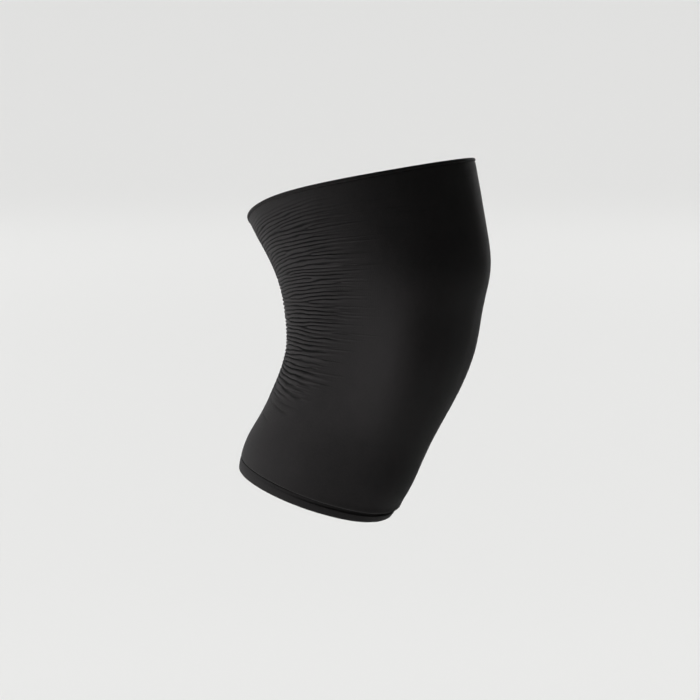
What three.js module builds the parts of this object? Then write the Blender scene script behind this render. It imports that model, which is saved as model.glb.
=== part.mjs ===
// Knee compression sleeve as worn on a bent knee: a seamless knitted tube that gathers into cross folds
// behind the knee, with a narrow rolled edge round the thigh and a deeper turned hem round the calf.
// Millimetres, +Z up, the kneecap towards -Y, and the origin at the centre of the knee inside the tube.
import * as THREE from "three";
import { ParametricGeometry } from "three/addons/geometries/ParametricGeometry.js";

// Driving dimensions
const KNIT_WALL = 1.6; // one layer of the knit
const SEAM_GAP = 0.3; // clear line between the tube and the bands at its two ends
const THIGH_EDGE = { height: 2.6, thickness: 2.4, proud: 0.3 }; // rolled edge, proud of the tube's face
const CALF_HEM = { height: 8.6, thickness: 2.6, proud: -0.6 }; // turned hem, set back under the tube's lip
const LIP_LIFT = 0.5; // how far the tube's lower lip swells out over the hem
const LIP_HEIGHT = 4.0; // height over which it swells

// Rings of the tube from the thigh edge to the calf edge, by the points where each crosses the front and
// the back midline. taper narrows the front of a ring and square fills out its corners. sag is how far the
// back of the ring hangs below the flat plane of its front and sides, and corner how far the ring stands out
// between its front and its sides.
const RING_COLUMNS = ["frontY", "frontZ", "backY", "backZ", "halfWidth", "taper", "square", "sag", "corner"];
const RINGS = {
  thighEdge: [-60, 115.5, 94, 65, 73, 0.03, 0.05, 18, -1],
  thigh: [-66, 90, 84.5, 51, 69.5, 0.03, 0.06, 17, -2],
  thighTendon: [-71.3, 64.5, 74.8, 36, 64.5, 0.03, 0.09, 15, -2],
  kneecapTop: [-73.5, 38.5, 68, 20.5, 57.5, 0.03, 0.15, 12, 1.5],
  kneecap: [-65.4, 13, 64.3, 4.5, 51.8, 0.02, 0.21, 7, 5.4],
  kneeHollow: [-59.8, -13, 63.3, -12, 49, 0, 0.24, 2, 6.2],
  shinTendon: [-50.6, -39, 67.3, -28.5, 48.3, 0.02, 0.23, -1, 6],
  shinTop: [-39, -64, 76.6, -45, 49.3, 0.05, 0.17, -2, 3.4],
  calfHead: [-26.4, -89, 86.6, -62, 51, 0.08, 0.11, -2, -1.5],
  calf: [-15.5, -113, 98.5, -79.5, 52.5, 0.1, 0.07, -1, -2.5],
  calfEdge: [0, -135.5, 104, -98, 52, 0.1, 0.05, 0, -1],
};
const SAG_SHARPNESS = 5; // how closely the sag keeps to the back midline
const CORNER = { angle: 51, back: 91, front: 18 }; // degrees from the front midline, with the ends of its rise
const CORNER_FLATNESS = 1.6; // how softly the rise starts from the side and from the front
const CORNER_EDGE = 2; // how tight the corner turns

// Cross folds behind the knee. along is the share of the way down the tube, lift the height of a ridge over
// the crease beside it, reach how many degrees round from the back midline a fold runs, sway how far its
// line wanders and slant how far it comes down on its way to the side.
const FOLD_COUNT = 36;
const FOLD_ZONES = [
  { zone: "thigh edge", along: 0.035, lift: 0.6, reach: 112, sway: 0.3, slant: 0 },
  { zone: "hamstrings", along: 0.3, lift: 1.0, reach: 116, sway: 0.6, slant: 3 },
  { zone: "knee hollow", along: 0.48, lift: 1.5, reach: 102, sway: 1.0, slant: 1 },
  { zone: "calf head", along: 0.62, lift: 1.2, reach: 88, sway: 0.8, slant: 5 },
  { zone: "calf", along: 0.76, lift: 0.4, reach: 70, sway: 0.5, slant: 8 },
];
const RIDGE_SHARE = 0.75; // part of a fold's lift that stands out from the tube's face
const CREASE_SHARE = -0.25; // part that sinks into it
const FOLD_FADE = 0.5; // share of its reach after which a fold begins to die out
const FOLD_VARIATION = 0.22; // how much reach and lift differ from one fold to the next
const SWAY_WAVES = 3; // bends in a fold's line round the whole ring
const GOLDEN = 0.618034; // step that spreads the folds' variation evenly

// Mesh fineness
const COLUMNS = 44; // facets round a ring
const INNER_ROWS = 20; // rows down the inside of the tube
const PLAIN_ROWS = 8; // rows down the plain stretch between the last fold and the lip
const BAND_END_STEPS = 4; // facets round each rounded rim of a band

// A smooth line through two columns of the ring table, from the thigh edge to the calf edge.
function spline(first, second) {
  const [x, y] = [first, second].map((column) => RING_COLUMNS.indexOf(column));
  return new THREE.SplineCurve(Object.values(RINGS).map((row) => new THREE.Vector2(row[x], row[y])));
}
const frontLine = spline("frontY", "frontZ");
const backLine = spline("backY", "backZ");
const girthLine = spline("halfWidth", "taper");
const squareLine = spline("square", "sag");
const cornerLine = spline("corner", "corner");

// How much of a ring's corner shows at an angle, from 0 to 1.
function cornerShape(cos) {
  const fromFront = THREE.MathUtils.radToDeg(Math.acos(cos));
  const behind = (CORNER.back - fromFront) / (CORNER.back - CORNER.angle);
  const before = (fromFront - CORNER.front) / (CORNER.angle - CORNER.front);
  const side = Math.max(behind, 0) ** CORNER_FLATNESS;
  const front = Math.max(before, 0) ** CORNER_FLATNESS;
  return (side * front) / (side ** CORNER_EDGE + front ** CORNER_EDGE) ** (1 / CORNER_EDGE);
}

// A point of the tube's face, lifted along the ring's own outward direction. angle 0 is the front midline
// and a quarter turn the +X side.
function facePoint(along, angle, offFace) {
  const front = frontLine.getPoint(along);
  const back = backLine.getPoint(along);
  const { x: halfWidth, y: taper } = girthLine.getPoint(along);
  const { x: square, y: sag } = squareLine.getPoint(along);
  const level = back.clone().setY(back.y + sag);
  const middle = front.clone().add(level).multiplyScalar(0.5);
  const halfDepth = front.distanceTo(level) / 2;
  const forward = front.clone().sub(level).normalize();
  const cos = Math.cos(angle);
  const sin = Math.sin(angle);
  const across = halfWidth * sin * (1 - taper * cos) * (1 + square * cos * cos);
  const ahead = halfDepth * cos * (1 + square * sin * sin);
  const outward = new THREE.Vector2(cos / halfDepth, sin / halfWidth).normalize();
  const lift = offFace + cornerLine.getPoint(along).x * cornerShape(cos);
  const depth = ahead + lift * outward.x;
  const drop = sag * ((1 - cos) / 2) ** SAG_SHARPNESS;
  return new THREE.Vector3(
    across + lift * outward.y,
    middle.x + forward.x * depth,
    middle.y + forward.y * depth - drop,
  );
}

// Millimetres of wall for a whole step of along, at one of the tube's ends.
const END_STEP = 0.02;
function wallLength(along, angle) {
  const inner = along < 0.5 ? along + END_STEP : along - END_STEP;
  return facePoint(along, angle, 0).distanceTo(facePoint(inner, angle, 0)) / END_STEP;
}
const belowThighEdge = (mm, angle) => mm / wallLength(0, angle);
const aboveCalfEdge = (mm, angle) => 1 - mm / wallLength(1, angle);

// Reads one column of the fold zones at a place down the tube.
function zoneValue(column, along) {
  const next = FOLD_ZONES.findIndex((zone) => zone.along >= along);
  if (next < 1) return FOLD_ZONES.at(next)[column];
  const [upper, lower] = FOLD_ZONES.slice(next - 1, next + 1);
  return THREE.MathUtils.mapLinear(along, upper.along, lower.along, upper[column], lower[column]);
}

// One crease or ridge: where its line runs and how far it stands off the tube's face. step counts half folds,
// so even steps are creases and odd steps the ridges between them.
function foldLine(step) {
  const share = step / (2 * FOLD_COUNT);
  const first = FOLD_ZONES[0].along;
  const last = FOLD_ZONES[FOLD_ZONES.length - 1].along;
  const along = THREE.MathUtils.lerp(first, last, share);
  const variation = 1 + FOLD_VARIATION * (2 * ((step * GOLDEN) % 1) - 1);
  const reach = THREE.MathUtils.degToRad(zoneValue("reach", along) * variation);
  const lift = zoneValue("lift", along) * variation * (step % 2 ? RIDGE_SHARE : CREASE_SHARE);
  const sway = zoneValue("sway", along);
  const slant = zoneValue("slant", along);
  const phase = Math.PI * 2 * Math.sin(share * Math.PI * 2);
  return (angle) => {
    const fromBack = Math.abs(Math.PI - angle);
    const strength = 1 - THREE.MathUtils.smoothstep(fromBack, FOLD_FADE * reach, reach);
    const wander = sway * strength * Math.sin(SWAY_WAVES * angle + phase);
    const fall = slant * (1 - Math.cos(Math.min(fromBack, Math.PI / 2)));
    return { along: along + (wander + fall) / wallLength(0, Math.PI), lift: lift * strength };
  };
}

// Skin of a closed wall: rows of points round the leg, joined in order and back to the first.
function closedWall(rows) {
  const point = (u, v, target) => {
    const row = rows[Math.round(u * rows.length) % rows.length];
    const column = Math.round(v * COLUMNS) % COLUMNS;
    target.copy(row((2 * Math.PI * column) / COLUMNS));
  };
  return new ParametricGeometry(point, rows.length, COLUMNS);
}

// The knitted tube: folds and a plain stretch down the outside, a swelling lip, and a smooth inside back up
// to the top.
function tubeRows() {
  const top = THIGH_EDGE.height + SEAM_GAP;
  const bottom = CALF_HEM.height + SEAM_GAP;
  const rows = [(angle) => facePoint(belowThighEdge(top, angle), angle, 0)];
  for (let step = 1; step < 2 * FOLD_COUNT; step++) {
    const line = foldLine(step);
    rows.push((angle) => {
      const { along, lift } = line(angle);
      return facePoint(along, angle, lift);
    });
  }
  const lastLine = foldLine(2 * FOLD_COUNT);
  for (let i = 0; i <= PLAIN_ROWS; i++) {
    rows.push((angle) => {
      const lip = aboveCalfEdge(bottom + LIP_HEIGHT, angle);
      return facePoint(THREE.MathUtils.lerp(lastLine(angle).along, lip, i / PLAIN_ROWS), angle, 0);
    });
  }
  rows.push((angle) => facePoint(aboveCalfEdge(bottom + LIP_HEIGHT / 3, angle), angle, LIP_LIFT));
  rows.push((angle) => facePoint(aboveCalfEdge(bottom, angle), angle, 0));
  for (let i = 0; i <= INNER_ROWS; i++) {
    rows.push((angle) => {
      const low = aboveCalfEdge(bottom, angle);
      const high = belowThighEdge(top, angle);
      return facePoint(THREE.MathUtils.lerp(low, high, i / INNER_ROWS), angle, -KNIT_WALL);
    });
  }
  return rows;
}

// A band round one end of the tube with both rims rounded. place turns millimetres in from that end into
// along.
function bandRows(band, place) {
  const radius = Math.min(band.thickness, band.height) / 2;
  const middle = band.proud - band.thickness / 2;
  const rims = [
    { centre: radius, from: 0 },
    { centre: band.height - radius, from: Math.PI },
  ];
  return rims.flatMap(({ centre, from }) =>
    Array.from({ length: BAND_END_STEPS + 1 }, (_, i) => {
      const turn = from + (Math.PI * i) / BAND_END_STEPS;
      const mm = centre - radius * Math.sin(turn);
      const lift = middle + (band.thickness / 2) * Math.cos(turn);
      return (angle) => facePoint(place(mm, angle), angle, lift);
    }),
  );
}

const knit = (color) => new THREE.MeshStandardMaterial({ color, roughness: 0.85, metalness: 0 });

function piece(name, rows, color) {
  const mesh = new THREE.Mesh(closedWall(rows), knit(color));
  mesh.name = name;
  return mesh;
}

const sleeve = new THREE.Group();
sleeve.add(
  piece("sleeve_tube", tubeRows(), 0x242425),
  piece("thigh_edge", bandRows(THIGH_EDGE, belowThighEdge).reverse(), 0x1d1d1e),
  piece("calf_hem", bandRows(CALF_HEM, aboveCalfEdge), 0x1f1f20),
);

export default sleeve;
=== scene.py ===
"""Looks of a knee compression sleeve in its worn, bent form.

The sleeve is one seamless knitted tube, gathered into fine cross folds at the back of its bend. A narrow
rolled edge goes round its upper opening and a deeper turned hem round its lower one. Metres, +Z up, the front
of the sleeve towards -Y, and the origin in the middle of the bend, inside the tube.
"""

import logging
import math
from collections.abc import Mapping, Sequence
from dataclasses import dataclass, field, fields
from enum import Enum
from typing import Union

import bpy
import numpy as np
from mathutils import Matrix, Vector


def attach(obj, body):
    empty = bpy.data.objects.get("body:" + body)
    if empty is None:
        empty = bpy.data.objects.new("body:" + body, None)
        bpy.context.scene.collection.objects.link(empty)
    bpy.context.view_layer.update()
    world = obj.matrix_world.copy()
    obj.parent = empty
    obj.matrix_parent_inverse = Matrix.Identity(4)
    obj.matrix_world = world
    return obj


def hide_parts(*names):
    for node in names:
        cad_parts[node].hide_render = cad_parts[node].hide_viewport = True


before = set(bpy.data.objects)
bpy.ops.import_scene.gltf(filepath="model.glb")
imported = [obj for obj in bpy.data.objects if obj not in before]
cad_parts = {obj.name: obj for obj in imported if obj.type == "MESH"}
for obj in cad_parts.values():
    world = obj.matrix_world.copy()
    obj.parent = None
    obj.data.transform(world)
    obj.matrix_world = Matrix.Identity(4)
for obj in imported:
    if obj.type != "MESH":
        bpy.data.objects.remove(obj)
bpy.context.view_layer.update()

LOG = logging.getLogger("knee_sleeve")
MM = 0.001
FULL_TURN = 2 * math.pi
CLOTH_MAP = "cloth"

Colour = tuple[float, float, float]
Value = Union[float, "Field"]


# Node trees


class Field:
    """A value socket of a node tree. Arithmetic on it adds Math nodes to the tree."""

    def __init__(self, graph: "Graph", socket: bpy.types.NodeSocket) -> None:
        """Keeps the socket and the graph that it belongs to."""
        self.graph = graph
        self.socket = socket

    def __add__(self, other: Value) -> "Field":
        """The sum."""
        return self.graph.math("ADD", self, other)

    def __radd__(self, other: Value) -> "Field":
        """The sum, from the right."""
        return self.graph.math("ADD", other, self)

    def __sub__(self, other: Value) -> "Field":
        """The difference."""
        return self.graph.math("SUBTRACT", self, other)

    def __rsub__(self, other: Value) -> "Field":
        """The difference, from the right."""
        return self.graph.math("SUBTRACT", other, self)

    def __mul__(self, other: Value) -> "Field":
        """The product."""
        return self.graph.math("MULTIPLY", self, other)

    def __truediv__(self, other: Value) -> "Field":
        """The quotient."""
        return self.graph.math("DIVIDE", self, other)

    def __pow__(self, other: Value) -> "Field":
        """The power."""
        return self.graph.math("POWER", self, other)

    def __abs__(self) -> "Field":
        """The size without its sign."""
        return self.graph.math("ABSOLUTE", self)

    def rounded(self) -> "Field":
        """The nearest whole number."""
        return self.graph.math("ROUND", self)

    def fraction(self) -> "Field":
        """The part after the whole number."""
        return self.graph.math("FRACT", self)

    def sine(self) -> "Field":
        """The sine of an angle in radians."""
        return self.graph.math("SINE", self)

    def cosine(self) -> "Field":
        """The cosine of an angle in radians."""
        return self.graph.math("COSINE", self)

    def arccosine(self) -> "Field":
        """The angle in radians whose cosine this is."""
        return self.graph.math("ARCCOSINE", self)

    def step(self, low: Value, high: Value) -> "Field":
        """A smooth step from 0 at low to 1 at high."""
        settings = {"interpolation_type": "SMOOTHSTEP"}
        sockets = {"Value": self, "From Min": low, "From Max": high}
        return self.graph.field("ShaderNodeMapRange", settings, sockets, "Result")


class Graph:
    """Builds one node tree. Every node comes from node(), and number maths from Field's operators."""

    def __init__(self, tree: bpy.types.NodeTree) -> None:
        """Keeps the tree that the nodes go into."""
        self.tree = tree

    @staticmethod
    def find(sockets: Sequence[bpy.types.NodeSocket], name: str) -> bpy.types.NodeSocket:
        """The socket with this identifier, or else with this name."""
        by_identifier = [socket for socket in sockets if socket.identifier == name]
        return (by_identifier or [socket for socket in sockets if socket.name == name])[0]

    def node(
        self,
        kind: str,
        settings: Mapping[str, object] | None = None,
        sockets: Mapping[str, object] | None = None,
    ) -> bpy.types.Node:
        """Adds a node.

        Args:
            kind: The node's type.
            settings: The node's own options, which are set first.
            sockets: Values or links of its inputs, by identifier or name.

        Returns:
            The new node.
        """
        made = self.tree.nodes.new(kind)
        for name, value in (settings or {}).items():
            setattr(made, name, value)
        for name, value in (sockets or {}).items():
            socket = self.find(made.inputs, name)
            link = value.socket if isinstance(value, Field) else value
            if isinstance(link, bpy.types.NodeSocket):
                self.tree.links.new(link, socket)
            else:
                socket.default_value = link
        return made

    def field(
        self,
        kind: str,
        settings: Mapping[str, object] | None,
        sockets: Mapping[str, object] | None,
        output: str,
    ) -> Field:
        """Adds a node as node() does.

        Args:
            kind: The node's type.
            settings: The node's own options.
            sockets: Values or links of its inputs.
            output: The identifier or name of the output that is wanted.

        Returns:
            That output.
        """
        return Field(self, self.find(self.node(kind, settings, sockets).outputs, output))

    def math(self, operation: str, first: Value, second: Value = 0.0) -> Field:
        """A Math node on one or two values."""
        sockets = {"Value": first, "Value_001": second}
        return self.field("ShaderNodeMath", {"operation": operation}, sockets, "Value")

    def vector(self, x: Value, y: Value, z: Value) -> Field:
        """A vector of three values."""
        return self.field("ShaderNodeCombineXYZ", None, {"X": x, "Y": y, "Z": z}, "Vector")

    def noise(self, place: Field, scale: float = 1.0, detail: float = 1.0) -> Field:
        """Smooth noise about nought, mostly between -0.5 and 0.5, at a place that is a vector."""
        sockets = {"Vector": place, "Scale": scale, "Detail": detail}
        return self.field("ShaderNodeTexNoise", {"noise_dimensions": "3D"}, sockets, "Fac") - 0.5

    def attribute(self, name: str) -> Field:
        """A number that the mesh carries at each point, as a material reads it."""
        return self.field("ShaderNodeAttribute", {"attribute_name": name}, None, "Fac")

    def mix(self, share: Value, first: object, second: object) -> Field:
        """A blend from the first colour to the second."""
        sockets = {"Factor_Float": share, "A_Color": first, "B_Color": second}
        return self.field("ShaderNodeMix", {"data_type": "RGBA"}, sockets, "Result_Color")


# The worn form


@dataclass(frozen=True)
class Ring:
    """One ring of the tube, in millimetres, by where it crosses the front and the back midline.

    taper narrows the front of the ring and square fills out its corners. sag is how far its back hangs below
    the flat plane of its front and sides, and corner how far it stands out between its front and its sides.
    """

    name: str
    front_y: float
    front_z: float
    back_y: float
    back_z: float
    half_width: float
    taper: float
    square: float
    sag: float
    corner: float


RINGS = (
    Ring("thigh edge", -60, 115.5, 94, 65, 73, 0.03, 0.05, 18, -1),
    Ring("thigh", -66, 90, 84.5, 51, 69.5, 0.03, 0.06, 17, -2),
    Ring("thigh tendon", -71.3, 64.5, 74.8, 36, 64.5, 0.03, 0.09, 15, -2),
    Ring("kneecap top", -73.5, 38.5, 68, 20.5, 57.5, 0.03, 0.15, 12, 1.5),
    Ring("kneecap", -65.4, 13, 64.3, 4.5, 51.8, 0.02, 0.21, 7, 5.4),
    Ring("knee hollow", -59.8, -13, 63.3, -12, 49, 0, 0.24, 2, 6.2),
    Ring("shin tendon", -50.6, -39, 67.3, -28.5, 48.3, 0.02, 0.23, -1, 6),
    Ring("shin top", -39, -64, 76.6, -45, 49.3, 0.05, 0.17, -2, 3.4),
    Ring("calf head", -26.4, -89, 86.6, -62, 51, 0.08, 0.11, -2, -1.5),
    Ring("calf", -15.5, -113, 98.5, -79.5, 52.5, 0.1, 0.07, -1, -2.5),
    Ring("calf edge", 0, -135.5, 104, -98, 52, 0.1, 0.05, 0, -1),
)


class End(Enum):
    """The two ends of the sleeve, by their place along it."""

    THIGH = 0.0
    CALF = 1.0


@dataclass
class SleeveForm:
    """The smooth face of the worn sleeve, before its folds.

    A place on it is along, from 0 at the thigh edge to 1 at the calf edge, and angle, from 0 at the front
    midline through a quarter turn at the +X side.
    """

    sag_sharpness: float = 5.0
    corner_angle: float = math.radians(51)
    corner_back: float = math.radians(91)
    corner_front: float = math.radians(18)
    corner_flatness: float = 1.6
    corner_edge: float = 2.0
    fairing: float = 0.025
    samples: int = 2201
    overrun: float = 0.05
    end_step: float = 0.02
    dense: np.ndarray = field(init=False)
    lines: dict[str, np.ndarray] = field(init=False)

    def __post_init__(self) -> None:
        """Draws a fair line through each column of the ring table."""
        self.dense = np.linspace(-self.overrun, 1 + self.overrun, self.samples)
        names = [column.name for column in fields(Ring) if column.name != "name"]
        self.lines = {name: self.fair_line([getattr(ring, name) for ring in RINGS]) for name in names}

    def fair_line(self, values: Sequence[float]) -> np.ndarray:
        """Draws a natural cubic through evenly spaced values and takes its small waves out.

        Args:
            values: One column of the ring table.

        Returns:
            The line at the dense places along the sleeve.
        """
        knots = np.array(values, float)
        count = len(knots)
        system = 4 * np.eye(count) + np.eye(count, k=1) + np.eye(count, k=-1)
        system[[0, -1]] = np.eye(count)[[0, -1]]
        bends = np.linalg.solve(system, np.concatenate([[0], 6 * np.diff(knots, 2), [0]]))
        place = self.dense * (count - 1)
        before = np.clip(np.floor(place), 0, count - 2).astype(int)
        after = before + 1
        share = place - before
        rest = 1 - share
        curve = ((rest**3 - rest) * bends[before] + (share**3 - share) * bends[after]) / 6
        line = rest * knots[before] + share * knots[after] + curve
        spread = self.fairing / (self.dense[1] - self.dense[0])
        reach = int(4 * spread)
        head = 2 * line[0] - line[reach:0:-1]
        tail = 2 * line[-1] - line[-2 : -reach - 2 : -1]
        weights = np.exp(-0.5 * (np.arange(-reach, reach + 1) / spread) ** 2)
        return np.convolve(np.concatenate([head, line, tail]), weights / weights.sum(), "valid")

    def column(self, name: str, along: np.ndarray) -> np.ndarray:
        """One column of the ring table at places along the sleeve."""
        return np.interp(along, self.dense, self.lines[name])

    def corner_shape(self, from_front: np.ndarray) -> np.ndarray:
        """How much of a ring's corner shows at an angle from the front midline, from 0 to 1."""
        behind = (self.corner_back - from_front) / (self.corner_back - self.corner_angle)
        before = (from_front - self.corner_front) / (self.corner_angle - self.corner_front)
        side = np.maximum(behind, 0) ** self.corner_flatness
        front = np.maximum(before, 0) ** self.corner_flatness
        return side * front / (side**self.corner_edge + front**self.corner_edge) ** (1 / self.corner_edge)

    def stretch(self, along: np.ndarray, angle: np.ndarray) -> np.ndarray:
        """How much the form's corners pale the knit, from 0 to 1: partly the paler look of stretched knit,
        partly a painted highlight on the knee's sides.
        """
        pull = np.clip(self.column("corner", along) / self.lines["corner"].max(), 0, 1)
        return pull * self.corner_shape(np.arccos(np.cos(angle)))

    def point(self, along: np.ndarray, angle: np.ndarray, lift: np.ndarray) -> np.ndarray:
        """Places points on the face.

        Args:
            along: Places along the sleeve.
            angle: Angles round it, in radians.
            lift: Distances off the face, in millimetres, along the ring's own outward direction.

        Returns:
            The points in metres, with x, y and z on the last axis.
        """
        along, angle, lift = np.broadcast_arrays(along, angle, lift)
        column = {name: self.column(name, along) for name in self.lines}
        sine, cosine = np.sin(angle), np.cos(angle)
        lift = lift + column["corner"] * self.corner_shape(np.arccos(cosine))
        level_z = column["back_z"] + column["sag"]
        half_y = (column["front_y"] - column["back_y"]) / 2
        half_z = (column["front_z"] - level_z) / 2
        half_depth = np.hypot(half_y, half_z)
        square = column["square"]
        across = column["half_width"] * sine * (1 - column["taper"] * cosine) * (1 + square * cosine**2)
        ahead = half_depth * cosine * (1 + square * sine**2)
        out_ahead, out_across = cosine / half_depth, sine / column["half_width"]
        out_length = np.hypot(out_ahead, out_across)
        depth = (ahead + lift * out_ahead / out_length) / half_depth
        drop = column["sag"] * ((1 - cosine) / 2) ** self.sag_sharpness
        x = across + lift * out_across / out_length
        y = column["back_y"] + half_y + half_y * depth
        z = level_z + half_z + half_z * depth - drop
        return np.stack([x, y, z], axis=-1) * MM

    def wall_length(self, end: End, angle: np.ndarray) -> np.ndarray:
        """Millimetres of wall for a whole step of along, at one of the sleeve's ends."""
        inner = abs(end.value - self.end_step)
        step = self.point(end.value, angle, 0.0) - self.point(inner, angle, 0.0)
        return np.linalg.norm(step, axis=-1) / MM / self.end_step

    def in_from(self, end: End, distance: np.ndarray, angle: np.ndarray) -> np.ndarray:
        """The place along the sleeve that lies a number of millimetres in from one of its ends."""
        step = distance / self.wall_length(end, angle)
        return step if end is End.THIGH else 1 - step


@dataclass
class Wall:
    """A closed wall as rows of points round the sleeve, joined in order and back to the first."""

    points: np.ndarray
    cloth: np.ndarray
    attributes: dict[str, np.ndarray]

    def to_object(self, name: str) -> bpy.types.Object:
        """Makes the wall a smooth mesh with its cloth map and attributes.

        Args:
            name: The object's name.

        Returns:
            The object, in the scene.
        """
        rows, columns = self.points.shape[:2]
        row, column = np.meshgrid(np.arange(rows), np.arange(columns), indexing="ij")
        corners = [(row, column), (row + 1, column), (row + 1, column + 1), (row, column + 1)]
        loops = np.stack([(r % rows) * columns + c % columns for r, c in corners], axis=-1)
        mesh = bpy.data.meshes.new(name)
        mesh.vertices.add(rows * columns)
        mesh.vertices.foreach_set("co", self.points.astype(np.float32).ravel())
        mesh.loops.add(loops.size)
        mesh.loops.foreach_set("vertex_index", loops.astype(np.int32).ravel())
        mesh.polygons.add(rows * columns)
        mesh.polygons.foreach_set("loop_start", np.arange(0, loops.size, 4, dtype=np.int32))
        mesh.update(calc_edges=True)
        flat = np.stack([self.cloth[r % rows, c] for r, c in corners], axis=2)
        mesh.uv_layers.new(name=CLOTH_MAP).uv.foreach_set("vector", flat.astype(np.float32).ravel())
        for key, values in self.attributes.items():
            layer = mesh.attributes.new(key, "FLOAT", "POINT")
            grid = np.broadcast_to(values, (rows, columns))
            layer.data.foreach_set("value", grid.astype(np.float32).ravel())
        mesh.shade_smooth()
        made = bpy.data.objects.new(name, mesh)
        bpy.context.scene.collection.objects.link(made)
        return made


@dataclass(frozen=True)
class ClothMap:
    """Where a place on the sleeve lies on the flat knit, in metres."""

    girth: float = 0.34
    length: float = 0.27

    def place(self, along: np.ndarray, angle: np.ndarray) -> np.ndarray:
        """The flat place of each point of a grid, with one more column that closes the turn."""
        along, angle = np.broadcast_arrays(along, angle)
        closed_along = np.concatenate([along, along[:, :1]], axis=1)
        closed_angle = np.concatenate([angle, angle[:, :1] + FULL_TURN], axis=1)
        return np.stack([closed_angle * self.girth / FULL_TURN, closed_along * self.length], axis=-1)

    def spot(self, along: float, bearing: float) -> np.ndarray:
        """The flat place of one point, by its place along the sleeve and degrees from the back midline."""
        return np.array([math.radians(bearing) * self.girth / FULL_TURN, along * self.length])


def column_angles(count: int, gather: float = 0.45) -> np.ndarray:
    """Angles of a wall's columns, closer together at the back.

    Args:
        count: How many columns go round.
        gather: How much closer the back is, from 0 for even columns.

    Returns:
        The angles as one row.
    """
    turn = np.arange(count) / count * FULL_TURN
    return (turn + gather * np.sin(turn))[None, :]


def front_share(angle: np.ndarray, sharpness: float = 2.2) -> np.ndarray:
    """How near the front an angle lies, from 0 at the back midline to 1 at the front."""
    return ((1 + np.cos(angle)) / 2) ** sharpness


# Finishes


@dataclass(frozen=True)
class KnitFinish:
    """A matt stretch knit: its colours, its gloss and the size of its stitches."""

    name: str
    colour: Colour
    worn_colour: Colour
    inside_colour: Colour
    roughness: float = 0.86
    sheen: float = 0.12
    sheen_roughness: float = 0.45
    gloss: float = 0.22
    stitch_width: float = 0.95 * MM
    stitch_height: float = 0.72 * MM
    stitch_slant: float = 0.5
    stitch_fullness: float = 4.0
    stitch_relief: float = 0.16 * MM
    relief_strength: float = 0.35
    mottle_size: float = 16 * MM
    mottle_detail: float = 3.0
    mottle_wear: float = 0.9
    mottle_roughness: float = 0.1
    fleck_size: float = 1.1 * MM
    fleck_wear: float = 0.7
    fleck_relief: float = 0.5
    # The next four fields darken the lines of the creases towards black: painted shade in the creases.
    crease_shade: float = 0.97
    crease_core: float = 0.22
    crease_edge: float = 0.6
    lone_shade: float = 0.6
    # The next two fields pale the colour at the knee's corners and over the folded back: a painted highlight,
    # at the corners partly the paler look of stretched knit.
    stretch_highlight_gain: float = 0.7
    ridge_share: float = 0.65

    def stitches(self, graph: Graph) -> Field:
        """Draws the knit's stitches on the cloth map, as columns of small nested Vs.

        Args:
            graph: The material's graph.

        Returns:
            The height of the yarn, from 0 between stitches to about 1.
        """
        flat = graph.field("ShaderNodeUVMap", {"uv_map": CLOTH_MAP}, None, "UV")
        split = graph.node("ShaderNodeSeparateXYZ", None, {"Vector": flat})
        across = Field(graph, split.outputs["X"]) / self.stitch_width
        down = Field(graph, split.outputs["Y"]) / self.stitch_height
        from_middle = abs(across.fraction() - 0.5) * 2.0
        over_yarn = (down + from_middle * self.stitch_slant).fraction()
        yarn = (over_yarn * math.pi).sine()
        return yarn * (1.0 - from_middle**self.stitch_fullness)

    def creases(self, graph: Graph) -> Field:
        """Draws the shade in the bottom of the creases, along the lines that the folds leave on the mesh.

        Args:
            graph: The material's graph.

        Returns:
            The shade, from 0 on the ridges to 1 in the deepest creases.
        """
        apart = graph.attribute("crease_wave").arccosine() / math.pi
        line = (1.0 - apart.step(self.crease_core, self.crease_edge)) * graph.attribute("crease_depth")
        return line + graph.attribute("lone_crease") * self.lone_shade

    def material(self) -> bpy.types.Material:
        """Builds the finish.

        Returns:
            The material.
        """
        made = bpy.data.materials.new(self.name)
        made.use_nodes = True
        made.node_tree.nodes.clear()
        graph = Graph(made.node_tree)
        place = graph.field("ShaderNodeTexCoord", None, None, "Object")
        mottle = graph.noise(place, 1 / self.mottle_size, self.mottle_detail)
        fleck = graph.noise(place, 1 / self.fleck_size)
        inside = graph.attribute("inside")
        # Painted highlight: the knee's corners and the folded back are mixed towards a paler colour, at the
        # corners partly the paler look of stretched knit.
        painted_highlight_share = graph.attribute("stretch") + graph.attribute("crease_depth") * self.ridge_share
        stitch = self.stitches(graph)
        wear = (0.5 + mottle * self.mottle_wear + fleck * self.fleck_wear).step(0.0, 1.0)
        worn = graph.mix(wear, (*self.colour, 1.0), (*self.worn_colour, 1.0))
        pale = tuple(channel * (1 + self.stretch_highlight_gain) for channel in self.worn_colour)
        with_painted_highlight = graph.mix(painted_highlight_share, worn, (*pale, 1.0))
        # Painted shade: the lines of the creases are darkened towards black.
        face = graph.mix(self.creases(graph) * self.crease_shade, with_painted_highlight, (0.0, 0.0, 0.0, 1.0))
        colour = graph.mix(inside, face, (*self.inside_colour, 1.0))
        relief = stitch + fleck * self.fleck_relief
        bump_sockets = {"Strength": self.relief_strength, "Distance": self.stitch_relief, "Height": relief}
        normal = graph.field("ShaderNodeBump", None, bump_sockets, "Normal")
        sockets = {
            "Base Color": colour,
            "Roughness": self.roughness + mottle * self.mottle_roughness,
            "Normal": normal,
            "Sheen Weight": self.sheen,
            "Sheen Roughness": self.sheen_roughness,
            "Specular IOR Level": self.gloss,
        }
        cloth = graph.node("ShaderNodeBsdfPrincipled", None, sockets)
        graph.node("ShaderNodeOutputMaterial", None, {"Surface": cloth.outputs["BSDF"]})
        return made


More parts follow.
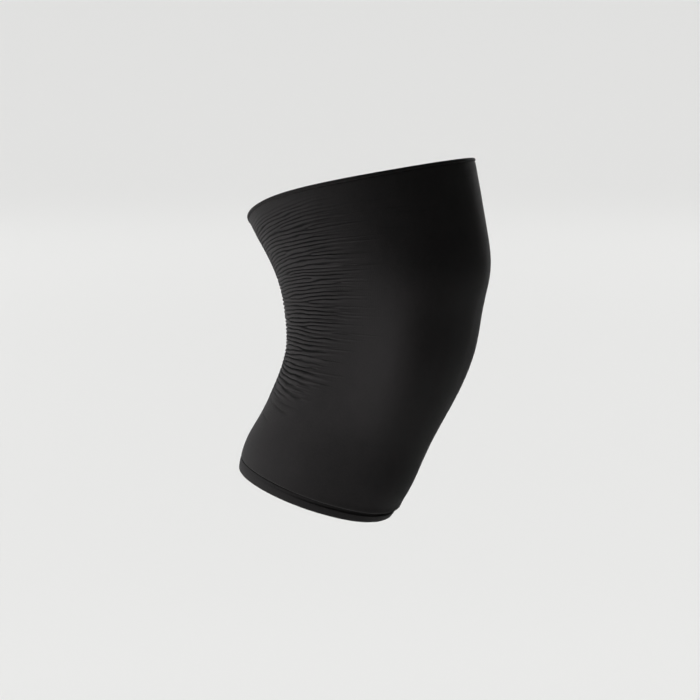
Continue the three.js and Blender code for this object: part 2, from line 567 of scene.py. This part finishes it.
TUBE_KNIT = KnitFinish("tube_knit", (0.0182, 0.0167, 0.0172), (0.0257, 0.0236, 0.0242), (0.031, 0.03, 0.0305))
EDGE_KNIT = KnitFinish("edge_knit", (0.0118, 0.0108, 0.0111), (0.0193, 0.0177, 0.0182), (0.021, 0.02, 0.0205))
HEM_KNIT = KnitFinish("hem_knit", (0.0138, 0.0126, 0.013), (0.0205, 0.0188, 0.0193), (0.026, 0.025, 0.0255))


# The tube and its folds


@dataclass(frozen=True)
class FoldZone:
    """The cross folds at one place along the tube, in millimetres and degrees.

    pitch is the distance between creases and lift the height of a ridge over its crease. reach is how far
    round from the back midline the folds run, and slant how far they come down on their way to the side.
    """

    name: str
    along: float
    pitch: float
    lift: float
    reach: float
    slant: float


FOLD_ZONES = (
    FoldZone("plain strip", 0.03, 1.9, 0.0, 103, -2),
    FoldZone("under the thigh edge", 0.085, 1.85, 1.0, 105, -2),
    FoldZone("hamstrings", 0.27, 2.0, 1.15, 104, 1),
    FoldZone("above the hollow", 0.41, 2.15, 1.3, 97, 0),
    FoldZone("knee hollow", 0.51, 2.25, 1.4, 91, -3),
    FoldZone("calf head", 0.61, 2.4, 1.25, 83, 1),
    FoldZone("calf", 0.68, 3.1, 0.5, 66, 8),
    FoldZone("plain calf", 0.73, 5.0, 0.0, 56, 9),
)


@dataclass(frozen=True)
class Fork:
    """A place where one crease becomes two.

    bearing is in degrees from the back midline, above 0 on the -X side. opens is 1 where the fork opens
    towards that side and -1 where it opens towards the other.
    """

    along: float
    bearing: float
    opens: int


# Where the forks lie, what part of them opens forwards, and two steps that spread them unevenly
FORK_ALONG = (0.1, 0.58)
FORK_BEARING = (20, 92)
FORWARD_SHARE = 0.72
GOLDEN_STEP = 0.618034
SILVER_STEP = 0.414214


def spread_forks(count: int = 50) -> tuple[Fork, ...]:
    """Spreads the forks over the gathered back, left and right in turn.

    Args:
        count: How many there are.

    Returns:
        The forks, most of which open towards the front.
    """
    forks = []
    for number in range(count):
        side = 1 if number % 2 else -1
        along = FORK_ALONG[0] + (FORK_ALONG[1] - FORK_ALONG[0]) * (number + 0.5) / count
        bearing = FORK_BEARING[0] + (FORK_BEARING[1] - FORK_BEARING[0]) * (number * GOLDEN_STEP % 1)
        forwards = number * SILVER_STEP % 1 < FORWARD_SHARE
        forks.append(Fork(along, side * bearing, side if forwards else -side))
    return tuple(forks)


@dataclass(frozen=True)
class LoneCrease:
    """A short crease apart from the others, by its two ends.

    along is a share of the sleeve's length, and a bearing is in degrees from the back midline.
    """

    along: float
    bearing: float
    end_along: float
    end_bearing: float
    depth: float


LONE_CREASES = (
    LoneCrease(0.722, 50, 0.738, 69, 0.8),
    LoneCrease(0.775, 38, 0.784, 56, 0.7),
    LoneCrease(0.7, 44, 0.712, 74, 0.6),
    LoneCrease(0.716, -68, 0.7, -40, 0.8),
    LoneCrease(0.77, -52, 0.76, -34, 0.6),
    LoneCrease(0.03, 178, 0.036, 192, 0.5),
    LoneCrease(0.044, 176, 0.047, 190, 0.4),
    LoneCrease(0.07, 112, 0.076, 128, 0.16),
    LoneCrease(0.095, 118, 0.103, 140, 0.16),
    LoneCrease(0.112, 128, 0.12, 152, 0.14),
    LoneCrease(0.15, 116, 0.158, 134, 0.14),
)


class NoiseLayer(Enum):
    """Layers of the folds' noise, apart enough not to look alike."""

    WARP = 0.0
    WOBBLE = 5.0
    STRAND = 7.0
    FINE_WANDER = 13.0
    FINE_STRAND = 19.0
    FOLD_ENDS = 31.0
    DRAPE = 43.0


@dataclass
class CrossFolds:
    """The fine folds that gather at the back, as a rule for a Geometry Nodes tree."""

    ridge_share: float = 0.6
    sharpness: float = 3.4
    warp: float = 1.1
    warp_run: float = 24 * MM
    warp_step: float = 8 * MM
    wobble: float = 0.5
    wobble_run: float = 7 * MM
    wobble_step: float = 4 * MM
    strand_run: float = 17 * MM
    strand_step: float = 2.3 * MM
    strand_floor: float = 0.15
    faint: float = -0.4
    strong: float = -0.04
    fade_from: float = 0.74
    reach_variation: float = 0.8
    ends_run: float = 90 * MM
    fine_share: float = 0.25
    fine_count: float = 2.3
    fine_sharpness: float = 2.0
    fine_wander: float = 2.0
    fine_faint: float = -0.1
    fine_strong: float = 0.2
    drape: float = 0.35 * MM
    drape_size: float = 38 * MM
    lone_width: float = 0.7 * MM
    lone_lift: float = 0.6 * MM
    lone_bow: float = 0.12
    lone_taper: float = 0.7
    seed: float = 4.0

    def zone_column(self, name: str, along: np.ndarray) -> np.ndarray:
        """One column of the fold zones at places along the tube."""
        places = [zone.along for zone in FOLD_ZONES]
        return np.interp(along, places, [getattr(zone, name) for zone in FOLD_ZONES])

    def counts(self, form: SleeveForm) -> np.ndarray:
        """How many creases lie above each of the form's dense places along the back."""
        back_length = form.wall_length(End.THIGH, np.array(math.pi))
        pitches = self.zone_column("pitch", form.dense)
        return np.cumsum(back_length / pitches) * (form.dense[1] - form.dense[0])

    def lone_creases(self, cloth: ClothMap, u: np.ndarray, v: np.ndarray) -> np.ndarray:
        """Draws the creases that lie apart from the others.

        Args:
            cloth: The flat knit.
            u: Places across the flat knit from the back midline, as a grid.
            v: Places down it.

        Returns:
            How deep in a crease each place lies, from 0 to 1.
        """
        depth = np.zeros_like(u)
        for lone in LONE_CREASES:
            start = cloth.spot(lone.along, lone.bearing)
            end = cloth.spot(lone.end_along, lone.end_bearing)
            run = np.linalg.norm(end - start)
            ahead = (end - start) / run
            across = (u - start[0] + cloth.girth / 2) % cloth.girth - cloth.girth / 2
            share = np.clip((across * ahead[0] + (v - start[1]) * ahead[1]) / run, 0, 1)
            aside = (v - start[1]) * ahead[0] - across * ahead[1]
            bow = self.lone_bow * run * share * (1 - share)
            body = np.sin(share * math.pi) ** self.lone_taper
            depth += lone.depth * body * np.exp(-(((aside - bow) / self.lone_width) ** 2))
        return np.minimum(depth, 1)

    def attributes(
        self, form: SleeveForm, cloth: ClothMap, along: np.ndarray, angle: np.ndarray
    ) -> dict[str, np.ndarray]:
        """Works out what the tree reads at each point of the tube's face.

        Args:
            form: The face that the folds lie on.
            cloth: The flat knit.
            along: Places along the tube, as a grid.
            angle: Angles round it.

        Returns:
            The attributes by name, each a grid.
        """
        along, angle = np.broadcast_arrays(along, angle)
        bearing = angle - math.pi
        from_back = np.abs(bearing)
        back_length = form.wall_length(End.THIGH, np.array(math.pi))
        fall = self.zone_column("slant", along) * (1 - np.cos(np.minimum(from_back, math.pi / 2)))
        line = along - fall / back_length
        count = np.interp(line, form.dense, self.counts(form))
        u = bearing * cloth.girth / FULL_TURN
        v = along * cloth.length
        for fork in spread_forks():
            fork_u, fork_v = cloth.spot(fork.along, fork.bearing)
            count = count + np.arctan2(v - fork_v, fork.opens * (u - fork_u)) / FULL_TURN
        reach = np.radians(self.zone_column("reach", line))
        return {
            "cloth_u": u,
            "cloth_v": v,
            "fold_count": count,
            "fold_lift": self.zone_column("lift", line) * MM,
            "fold_turn": from_back / reach,
            "lone_crease": self.lone_creases(cloth, u, v),
        }

    def inputs(self) -> dict[str, float]:
        """The tree's inputs by name."""
        return {
            "Ridge share": self.ridge_share,
            "Sharpness": self.sharpness,
            "Warp": self.warp,
            "Wobble": self.wobble,
            "Faint": self.faint,
            "Strong": self.strong,
            "Fade from": self.fade_from,
            "Reach variation": self.reach_variation,
            "Fine share": self.fine_share,
            "Fine count": self.fine_count,
            "Drape": self.drape,
            "Lone lift": self.lone_lift,
            "Seed": self.seed,
        }

    def crease(self, phase: Field, sharpness: Value) -> Field:
        """The profile of a row of creases: 1 in each crease and 0 on the rounded ridges between."""
        apart = abs(phase - phase.rounded()) * 2.0
        return (1.0 - apart) ** sharpness

    def tree(self) -> bpy.types.GeometryNodeTree:
        """Builds the tree that lays the folds on a tube and gives it its finish.

        Returns:
            The tree, with named inputs for the folds' sizes.
        """
        tree = bpy.data.node_groups.new("cross_folds", "GeometryNodeTree")
        faces = tree.interface
        faces.new_socket("Geometry", in_out="INPUT", socket_type="NodeSocketGeometry")
        for name in self.inputs():
            faces.new_socket(name, in_out="INPUT", socket_type="NodeSocketFloat")
        faces.new_socket("Finish", in_out="INPUT", socket_type="NodeSocketMaterial")
        faces.new_socket("Geometry", in_out="OUTPUT", socket_type="NodeSocketGeometry")
        graph = Graph(tree)
        given = graph.node("NodeGroupInput").outputs
        size = {name: Field(graph, given[name]) for name in self.inputs()}

        def read(name: str) -> Field:
            """A number that the tube carries at each point."""
            settings = {"data_type": "FLOAT"}
            return graph.field("GeometryNodeInputNamedAttribute", settings, {"Name": name}, "Attribute")

        u, v = read("cloth_u"), read("cloth_v")
        count, lift, turn = read("fold_count"), read("fold_lift"), read("fold_turn")
        lone = read("lone_crease")

        def waves(run: float, step: float, layer: NoiseLayer) -> Field:
            """Noise with one length along the folds and another across them."""
            return graph.noise(graph.vector(u / run, v / step, size["Seed"] + layer.value))

        phase = count + waves(self.warp_run, self.warp_step, NoiseLayer.WARP) * size["Warp"]
        phase = phase + waves(self.wobble_run, self.wobble_step, NoiseLayer.WOBBLE) * size["Wobble"]
        strand = waves(self.strand_run, self.strand_step, NoiseLayer.STRAND)
        strand = strand.step(size["Faint"], size["Strong"])
        held = self.strand_floor + strand * (1 - self.strand_floor)
        main = self.crease(phase, size["Sharpness"]) * held
        wander = waves(self.strand_run, self.warp_step, NoiseLayer.FINE_WANDER) * self.fine_wander
        fine_strand = waves(self.warp_run, self.strand_step, NoiseLayer.FINE_STRAND)
        fine = self.crease(phase * size["Fine count"] + wander, self.fine_sharpness)
        fine = fine * fine_strand.step(self.fine_faint, self.fine_strong)
        ends = waves(self.ends_run, self.strand_step, NoiseLayer.FOLD_ENDS)
        strength = 1.0 - (turn * (1.0 + ends * size["Reach variation"])).step(size["Fade from"], 1.0)
        crease = (main + fine * size["Fine share"]) * strength
        drape = waves(self.drape_size, self.drape_size, NoiseLayer.DRAPE) * size["Drape"]
        drape = drape * strength * lift / MM
        offset = lift * (strength * size["Ridge share"] - crease) + drape - lone * size["Lone lift"]
        wave = (phase * FULL_TURN).cosine()
        # How strongly each place's creases are painted: the material darkens their lines with painted shade
        # and pales the ground between them with a painted highlight.
        depth = strand * strength * (lift / MM).step(0.0, 1.0)
        along_normal = graph.field(
            "ShaderNodeVectorMath",
            {"operation": "SCALE"},
            {"Vector": graph.node("GeometryNodeInputNormal").outputs["Normal"], "Scale": offset},
            "Vector",
        )
        geometry = given["Geometry"]
        for name, value in (("crease_wave", wave), ("crease_depth", depth)):
            settings = {"data_type": "FLOAT", "domain": "POINT"}
            sockets = {"Geometry": geometry, "Name": name, "Value": value}
            geometry = graph.node("GeometryNodeStoreNamedAttribute", settings, sockets).outputs["Geometry"]
        moved = graph.node("GeometryNodeSetPosition", None, {"Geometry": geometry, "Offset": along_normal})
        realised = graph.node("GeometryNodeRealizeInstances", None, {"Geometry": moved.outputs["Geometry"]})
        dressed = graph.node(
            "GeometryNodeSetMaterial",
            None,
            {"Geometry": realised.outputs["Geometry"], "Material": given["Finish"]},
        )
        graph.node("NodeGroupOutput", None, {"Geometry": dressed.outputs["Geometry"]})
        return tree

    def lay(self, piece: bpy.types.Object, finish: bpy.types.Material) -> None:
        """Lays the folds on a piece that carries their attributes, and leaves it a plain mesh.

        Args:
            piece: The tube.
            finish: The material that it gets.
        """
        modifier = piece.modifiers.new("cross_folds", "NODES")
        modifier.node_group = self.tree()
        values = {**self.inputs(), "Finish": finish}
        for item in modifier.node_group.interface.items_tree:
            if item.in_out == "INPUT" and item.name in values:
                modifier[item.identifier] = values[item.name]
        graph = bpy.context.evaluated_depsgraph_get()
        folded = bpy.data.meshes.new_from_object(
            piece.evaluated_get(graph), preserve_all_data_layers=True, depsgraph=graph
        )
        piece.modifiers.remove(modifier)
        piece.data = folded


@dataclass
class SleeveTube:
    """The knitted tube between the two bands, with its folds and its lower lip."""

    form: SleeveForm
    cloth: ClothMap
    folds: CrossFolds
    top: float
    top_slope: float
    bottom: float
    wall: float = 1.6
    top_sink: float = 0.35
    top_round: float = 0.6
    lip_swell: float = 0.1
    lip_front_swell: float = 0.6
    lip_height: float = 3.2
    columns: int = 170
    fold_rows: int = 480
    plain_rows: int = 40
    fold_end: float = 0.82
    lip_rows: int = 9
    inner_rows: int = 34

    def lip_lift(self, above: np.ndarray, angle: np.ndarray) -> np.ndarray:
        """How far the lip swells off the face, a number of millimetres above its end."""
        swell = self.lip_swell + self.lip_front_swell * front_share(angle)
        return swell * np.exp(-((above / self.lip_height) ** 2))

    def build(self, finish: bpy.types.Material) -> bpy.types.Object:
        """Builds the tube.

        Args:
            finish: The tube's material.

        Returns:
            The finished object.
        """
        angle = column_angles(self.columns)
        radius = self.wall / 2
        high = self.form.in_from(End.THIGH, self.top, angle)
        inner_high = self.form.in_from(End.THIGH, self.top + self.top_slope * self.wall, angle)
        low = self.form.in_from(End.CALF, self.bottom + radius, angle)
        counts = self.folds.counts(self.form)
        first, last = np.interp([0, self.fold_end], self.form.dense, counts)
        fold_counts = np.linspace(first, last, self.fold_rows, endpoint=False)
        fold_steps = np.interp(fold_counts, counts, self.form.dense)
        plain_steps = np.linspace(self.fold_end, 1, self.plain_rows, endpoint=False)
        steps = np.concatenate([fold_steps, plain_steps])[:, None]
        outer = high + (low - high) * steps
        lip_turn = np.linspace(0, math.pi, self.lip_rows)[:, None]
        lip_above = radius * (1 - np.sin(lip_turn))
        lip = self.form.in_from(End.CALF, self.bottom + lip_above, angle)
        inner = low + (inner_high - low) * np.linspace(0, 1, self.inner_rows + 1)[1:, None]
        along = np.concatenate([outer, lip, inner])
        above = (1 - along) * self.form.wall_length(End.CALF, angle) - self.bottom
        under = np.concatenate(
            [np.zeros_like(steps), radius * (1 - np.cos(lip_turn)), np.full((self.inner_rows, 1), self.wall)]
        )
        below = along * self.form.wall_length(End.THIGH, angle) - self.top
        sink = self.top_sink * np.exp(-((np.maximum(below, 0) / self.top_round) ** 2)) * (under == 0)
        lift = self.lip_lift(np.maximum(above, 0), angle) - under - sink
        attributes = self.folds.attributes(self.form, self.cloth, along, angle)
        on_face = (under == 0).astype(float)
        for name in ("fold_lift", "lone_crease"):
            attributes[name] = attributes[name] * on_face
        attributes["inside"] = (under >= radius).astype(float)
        # The stretch attribute pales the knit at the knee's corners: partly the paler look of stretched knit,
        # partly a painted highlight on the knee's sides.
        attributes["stretch"] = self.form.stretch(along, angle)
        made = Wall(self.form.point(along, angle, lift), self.cloth.place(along, angle), attributes)
        piece = made.to_object("knit_tube")
        self.folds.lay(piece, finish)
        return piece


# The bands


# Waves of a band's unevenness: how many go round, how strong each is, and where it starts in radians
BAND_WAVES = ((5, 1.0, 0.7), (11, 0.6, 2.1), (19, 0.4, 4.0))


@dataclass
class EndBand:
    """A rounded band of doubled knit round one end of the sleeve, in millimetres."""

    name: str
    form: SleeveForm
    cloth: ClothMap
    end: End
    height: float
    thickness: float
    proud: float
    front_proud: float = 0.0
    crown: float = 0.0
    seam_radius: float = 0.5
    seam_slope: float = 0.0
    front_slope: float = 0.0
    front_rise: float = 0.0
    rise_sharpness: float = 6.0
    front_neck: float = 0.0
    neck_sharpness: float = 3.0
    neck_height: float = 3.0
    neck_soft: float = 0.8
    unevenness: float = 0.12
    gather: float = 0.2
    columns: int = 200
    rim_rows: int = 10
    face_rows: int = 8

    def outline(self, slope: np.ndarray, rise: np.ndarray, neck: np.ndarray) -> tuple[np.ndarray, np.ndarray]:
        """Draws the band's section.

        Args:
            slope: How steeply the seam rises towards the inside, at each column.
            rise: How far the seam lies above the band's height, at each column.
            neck: How far the band's face draws in below the seam, at each column.

        Returns:
            Distances in from the end of the sleeve, and distances off the middle of the band, outwards first.
        """
        half = self.thickness / 2
        turn = np.linspace(0, math.pi, self.rim_rows)[:, None] + 0 * slope
        end_rim = (half - half * np.sin(turn), half * np.cos(turn))
        seam_off = -half * np.cos(turn)
        seam = self.height + rise - self.seam_radius * (1 - np.sin(turn)) - slope * seam_off
        share = (np.arange(self.face_rows) + 1)[:, None] / (self.face_rows + 1)
        inner = (half + (seam[:1] - half) * share, -half + 0 * share * slope)
        swell = half + self.crown * np.sin(share * math.pi)
        face = seam[-1:] + (half - seam[-1:]) * share
        into_neck = np.clip((face - self.height + self.neck_height) / self.neck_soft, 0, 1)
        outer = (face, swell - neck * into_neck**2 * (3 - 2 * into_neck))
        seam_off = seam_off - neck * (1 - np.cos(turn)) / 2
        sections = (end_rim, inner, (seam, seam_off), outer)
        distance, off = (np.concatenate(part) for part in zip(*sections))
        return distance, off

    def build(self, finish: bpy.types.Material) -> bpy.types.Object:
        """Builds the band.

        Args:
            finish: The band's material.

        Returns:
            The finished object.
        """
        angle = column_angles(self.columns, self.gather)
        front = front_share(angle)
        rise = self.front_rise * front_share(angle, self.rise_sharpness)
        neck = self.front_neck * front_share(angle, self.neck_sharpness)
        distance, off = self.outline(self.seam_slope + self.front_slope * front, rise, neck)
        waves = sum(strength * np.sin(count * angle + start) for count, strength, start in BAND_WAVES)
        middle = self.proud + self.front_proud * front - self.thickness / 2 + self.unevenness * waves / 2
        along = self.form.in_from(self.end, distance, angle)
        rows = slice(None) if self.end is End.CALF else slice(None, None, -1)
        points = self.form.point(along, angle, middle + off)[rows]
        steps = np.hypot(np.diff(distance, axis=0), np.diff(off, axis=0))
        section = np.concatenate([np.zeros_like(angle), np.cumsum(steps, axis=0)])
        run = section / (self.cloth.length / MM)
        made = Wall(points, self.cloth.place(run[rows], angle), {})
        piece = made.to_object(self.name)
        piece.data.materials.append(finish)
        return piece


# The studio


@dataclass(frozen=True)
class SoftLight:
    """A large soft lamp that faces the sleeve.

    bearing is in degrees round from the front towards the -X side, and the sizes are in metres and watts.
    """

    name: str
    bearing: float
    elevation: float
    distance: float
    width: float
    height: float
    power: float


@dataclass(frozen=True)
class FloorWash:
    """A wide lamp that hangs over the floor, faces it and lights only it.

    bearing is in degrees round from behind the sleeve as the camera sees it. The sizes are in metres and
    watts, with width across that bearing and depth along it.
    """

    name: str
    bearing: float
    reach: float
    width: float
    depth: float
    power: float


@dataclass
class Studio:
    """A plain pale floor, soft lamps and the camera."""

    floor_drop: float = 1.2
    floor_size: float = 160.0
    floor_colour: Colour = (0.8, 0.8, 0.79)
    floor_roughness: float = 0.9
    sky_colour: Colour = (0.9, 0.92, 0.95)
    sky_strength: float = 0.008
    wash_height: float = 2.0
    wash_spread: float = math.radians(90)
    azimuth: float = -59.0
    elevation: float = 6.5
    distance: float = 3.0
    frame_width: float = 0.476
    knee_right: float = 0.0224
    knee_up: float = 0.017
    sensor: float = 36.0
    lamps: tuple[SoftLight, ...] = (
        SoftLight("key", 158, 36, 2.4, 1.2, 1.2, 28.5),
        SoftLight("side", 92, 0, 2.4, 0.9, 1.4, 5),
        SoftLight("bounce", 140, -42, 0.6, 0.5, 0.5, 2.3),
        SoftLight("rim", -98, 12, 2.6, 0.6, 1.4, 18),
    )
    washes: tuple[FloorWash, ...] = (
        FloorWash("far wash", 0, 27, 14, 49, 2100),
        FloorWash("wash behind", 0, 8.5, 28, 11, 420),
        FloorWash("wash left", 90, 8.5, 28, 11, 420),
        FloorWash("wash before", 180, 8.5, 28, 11, 420),
        FloorWash("wash right", 270, 8.5, 28, 11, 420),
    )

    def build(self) -> None:
        """Builds the floor, the sky, the lamps and the camera."""
        self.build_floor()
        self.build_sky()
        for lamp in self.lamps:
            self.build_lamp(lamp)
        for wash in self.washes:
            self.build_wash(wash)
        self.build_camera()
        bpy.context.scene.view_settings.view_transform = "Standard"

    def build_floor(self) -> None:
        """Lays the floor well below the sleeve, which its mount holds up."""
        half = self.floor_size / 2
        corners = [(-half, -half, 0), (half, -half, 0), (half, half, 0), (-half, half, 0)]
        mesh = bpy.data.meshes.new("floor")
        mesh.from_pydata([(x, y, z - self.floor_drop) for x, y, z in corners], [], [(0, 1, 2, 3)])
        paint = bpy.data.materials.new("floor")
        paint.use_nodes = True
        paint.node_tree.nodes.clear()
        graph = Graph(paint.node_tree)
        sockets = {"Base Color": (*self.floor_colour, 1.0), "Roughness": self.floor_roughness}
        surface = graph.node("ShaderNodeBsdfPrincipled", None, sockets)
        graph.node("ShaderNodeOutputMaterial", None, {"Surface": surface.outputs["BSDF"]})
        mesh.materials.append(paint)
        floor = bpy.data.objects.new("floor", mesh)
        bpy.context.scene.collection.objects.link(floor)

    def build_sky(self) -> None:
        """Gives the room an even pale light."""
        world = bpy.data.worlds.new("studio")
        world.use_nodes = True
        world.node_tree.nodes.clear()
        graph = Graph(world.node_tree)
        sockets = {"Color": (*self.sky_colour, 1.0), "Strength": self.sky_strength}
        sky = graph.node("ShaderNodeBackground", None, sockets)
        graph.node("ShaderNodeOutputWorld", None, {"Surface": sky.outputs["Background"]})
        bpy.context.scene.world = world

    def hang(self, name: str, width: float, depth: float, power: float) -> bpy.types.Object:
        """Makes a rectangular lamp that the camera doesn't see.

        Args:
            name: The lamp's name.
            width: Its size along its own x.
            depth: Its size along its own y.
            power: Its power in watts.

        Returns:
            The lamp, still at the origin.
        """
        light = bpy.data.lights.new(name, "AREA")
        light.shape = "RECTANGLE"
        light.size = width
        light.size_y = depth
        light.energy = power
        made = bpy.data.objects.new(name, light)
        made.visible_camera = False
        bpy.context.scene.collection.objects.link(made)
        return made

    def build_lamp(self, lamp: SoftLight) -> None:
        """Hangs one lamp and turns it to the sleeve."""
        made = self.hang(lamp.name, lamp.width, lamp.height, lamp.power)
        bearing, elevation = math.radians(lamp.bearing), math.radians(lamp.elevation)
        level = math.cos(elevation)
        away = Vector((-math.sin(bearing) * level, -math.cos(bearing) * level, math.sin(elevation)))
        made.location = away * lamp.distance
        made.rotation_euler = (-away).to_track_quat("-Z", "Y").to_euler()

    def build_wash(self, wash: FloorWash) -> None:
        """Hangs one wide lamp over the floor, so that the ground there is pale and even."""
        made = self.hang(wash.name, wash.width, wash.depth, wash.power)
        made.data.spread = self.wash_spread
        bearing = math.radians(self.azimuth + wash.bearing)
        away = Vector((-math.sin(bearing), math.cos(bearing), 0.0))
        made.location = away * wash.reach + Vector((0.0, 0.0, self.wash_height))
        made.rotation_euler = (0.0, 0.0, bearing)

    def build_camera(self) -> None:
        """Stands the camera where the photograph was taken from."""
        azimuth, elevation = math.radians(self.azimuth), math.radians(self.elevation)
        level = math.cos(elevation)
        look = Vector((-math.sin(azimuth) * level, math.cos(azimuth) * level, -math.sin(elevation)))
        right = Vector((math.cos(azimuth), math.sin(azimuth), 0))
        up = right.cross(look)
        lens = bpy.data.cameras.new("camera")
        lens.sensor_width = self.sensor
        lens.lens = self.sensor * self.distance / self.frame_width
        lens.clip_end = self.floor_size
        camera = bpy.data.objects.new("camera", lens)
        camera.location = -right * self.knee_right - up * self.knee_up - look * self.distance
        camera.rotation_euler = Matrix((right, up, -look)).transposed().to_euler()
        bpy.context.scene.collection.objects.link(camera)
        bpy.context.scene.camera = camera


# Assembly


@dataclass
class KneeSleeve:
    """The whole sleeve: the tube, the edge round its upper opening and the hem round its lower one."""

    form: SleeveForm = field(default_factory=SleeveForm)
    cloth: ClothMap = field(default_factory=ClothMap)
    folds: CrossFolds = field(default_factory=CrossFolds)
    edge_gap: float = 0.06
    edge_height: float = 2.9
    edge_thickness: float = 2.4
    edge_proud: float = 0.3
    edge_slope: float = 0.6
    hem_gap: float = 0.12
    hem_height: float = 8.8

    def build(self) -> list[bpy.types.Object]:
        """Builds and dresses the pieces and ties them to the frame.

        Returns:
            The pieces.
        """
        edge_middle = self.edge_proud - self.edge_thickness / 2
        tube = SleeveTube(
            self.form,
            self.cloth,
            self.folds,
            top=self.edge_height + self.edge_gap + self.edge_slope * edge_middle,
            top_slope=self.edge_slope,
            bottom=self.hem_height + self.hem_gap,
        ).build(TUBE_KNIT.material())
        edge = EndBand(
            "rolled_edge",
            self.form,
            self.cloth,
            End.THIGH,
            self.edge_height,
            thickness=self.edge_thickness,
            proud=self.edge_proud,
            seam_slope=self.edge_slope,
        ).build(EDGE_KNIT.material())
        hem = EndBand(
            "turned_hem",
            self.form,
            self.cloth,
            End.CALF,
            self.hem_height,
            thickness=2.6,
            proud=0.0,
            front_proud=-0.9,
            crown=0.15,
            seam_radius=0.4,
            seam_slope=0.25,
            front_slope=-0.25,
            front_rise=4.5,
            front_neck=1.7,
            face_rows=26,
        ).build(HEM_KNIT.material())
        nodes = {"sleeve_tube": tube, "thigh_edge": edge, "calf_hem": hem}
        for node, piece in nodes.items():
            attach(piece, "root")
            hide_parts(node)
            LOG.info("%s: %d faces for %s", piece.name, len(piece.data.polygons), node)
        return list(nodes.values())


def main() -> None:
    """Builds the sleeve and its studio."""
    logging.basicConfig(level=logging.INFO, format="%(name)s: %(message)s")
    pieces = KneeSleeve().build()
    Studio().build()
    LOG.info("%d pieces in the studio", len(pieces))
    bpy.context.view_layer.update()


if __name__ == "__main__":
    main()
